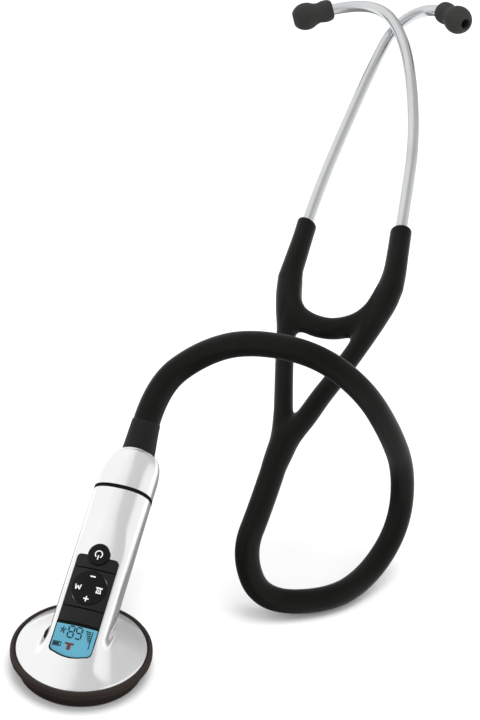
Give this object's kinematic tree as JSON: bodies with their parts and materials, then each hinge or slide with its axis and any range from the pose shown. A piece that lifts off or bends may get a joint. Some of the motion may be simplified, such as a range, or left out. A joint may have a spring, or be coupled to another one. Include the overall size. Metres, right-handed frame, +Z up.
{
  "type": "electronic stethoscope",
  "caption": "Electronic stethoscope standing on its round chestpiece: raised handle with display and keypad, looped black tubing, forked yoke and crossed metal ear tubes.",
  "frame": {"origin": "centre of the diaphragm's contact face, on the surface that the chestpiece stands on", "axes": "+Z up, out of the back of the chestpiece; +Y the way the handle leaves the head; +X to the handle's right"},
  "size_m": [0.1418, 0.3294, 0.1974],
  "materials": {
    "silver_lacquer": "glossy silver-white lacquer",
    "rim_rubber": "satin dark brown-black",
    "diaphragm_film": "fine matte film",
    "foam": "open-cell foam",
    "sensor_metal": "bare brass",
    "inner_plastic": "moulded",
    "steel": "bright",
    "circuit_board": "green solder mask",
    "chip_black": "moulded",
    "display_blue": "backlit light blue display behind a clear window",
    "panel_dark": "satin charcoal",
    "keypad_dark": "satin near-black",
    "battery_jacket": "plain printed jacket",
    "seal_black": "black",
    "speaker_metal": "bare",
    "relief_rubber": "matte black",
    "tube_black": "satin black PVC",
    "satin_aluminium": "satin anodised",
    "eartip_rubber": "matte soft dark grey"
  },
  "bodies": {
    "chestpiece": {"diaphragm": "diaphragm_film", "diaphragm_ring": "rim_rubber", "sensor_foam": "foam", "acoustic_sensor": "sensor_metal", "sensor_mount": "inner_plastic", "backing_plate": "inner_plastic", "base_screws": "steel", "head_rim": "rim_rubber", "housing": "silver_lacquer", "main_circuit_board": "circuit_board", "signal_processor": "chip_black", "display_window": "display_blue", "lcd_module": "chip_black", "control_panel": "panel_dark", "keypad_pivot": "panel_dark", "battery": "battery_jacket", "battery_spring": "steel"},
    "power_button": {"power_button": "keypad_dark"},
    "keypad_boot": {"keypad_boot": "inner_plastic"},
    "keypad": {"keypad": "keypad_dark"},
    "tubing": {"end_cap": "silver_lacquer", "seam_seal": "seal_black", "battery_contact": "steel", "speaker_carrier": "inner_plastic", "speaker": "speaker_metal", "strain_relief": "relief_rubber", "main_tube": "tube_black", "yoke_tubing": "tube_black", "yoke_leaf_spring": "steel"},
    "left_arm": {"left_sleeve": "tube_black"},
    "left_ear_tube": {"left_ear_tube": "satin_aluminium", "left_tip_adapter": "chip_black"},
    "left_eartip": {"left_eartip": "eartip_rubber"},
    "right_arm": {"right_sleeve": "tube_black"},
    "right_ear_tube": {"right_ear_tube": "satin_aluminium", "right_tip_adapter": "chip_black"},
    "right_eartip": {"right_eartip": "eartip_rubber"}
  },
  "joints": [
    {"name": "cap_pull", "type": "slide", "parent": "chestpiece", "child": "tubing", "axis": [0, 0.8396, 0.5432], "range_m": [0, 0.052]},
    {"name": "power_press", "type": "slide", "parent": "chestpiece", "child": "power_button", "axis": [0, 0.5432, -0.8396], "range_m": [0, 0.0004], "stiffness_N_per_m": 400},
    {"name": "keypad_rock_lengthwise", "type": "hinge", "parent": "chestpiece", "child": "keypad_boot", "pos_m": [0, 0.00782, 0.03239], "axis": [1, 0, 0], "range_deg": [-2.5, 2.5], "stiffness_Nm_per_rad": 0.02},
    {"name": "keypad_rock_sideways", "type": "hinge", "parent": "keypad_boot", "child": "keypad", "pos_m": [0, 0.00782, 0.03239], "axis": [0, 0.8396, 0.5432], "range_deg": [-2.5, 2.5], "stiffness_Nm_per_rad": 0.02},
    {"name": "left_arm_spread", "type": "hinge", "parent": "tubing", "child": "left_arm", "pos_m": [0.0412, 0.14921, 0.11018], "axis": [-0.173, -0.454, 0.874], "range_deg": [-8, 4], "stiffness_Nm_per_rad": 2},
    {"name": "left_ear_tube_twist", "type": "hinge", "parent": "left_arm", "child": "left_ear_tube", "pos_m": [0.04198, 0.16556, 0.11882], "axis": [0.0206, 0.8856, 0.4641], "range_deg": [0, 25]},
    {"name": "left_eartip_pull", "type": "slide", "parent": "left_ear_tube", "child": "left_eartip", "axis": [0.7181, -0.6952, 0.0338], "range_m": [0, 0.008]},
    {"name": "right_arm_spread", "type": "hinge", "parent": "tubing", "child": "right_arm", "pos_m": [0.0872, 0.14473, 0.11695], "axis": [0.173, 0.454, -0.874], "range_deg": [-8, 4], "stiffness_Nm_per_rad": 2},
    {"name": "right_ear_tube_twist", "type": "hinge", "parent": "right_arm", "child": "right_ear_tube", "pos_m": [0.08612, 0.16048, 0.12492], "axis": [-0.0827, 0.891, 0.4464], "range_deg": [0, 25]},
    {"name": "right_eartip_pull", "type": "slide", "parent": "right_ear_tube", "child": "right_eartip", "axis": [-0.8886, -0.3108, -0.3373], "range_m": [0, 0.008]}
  ]
}
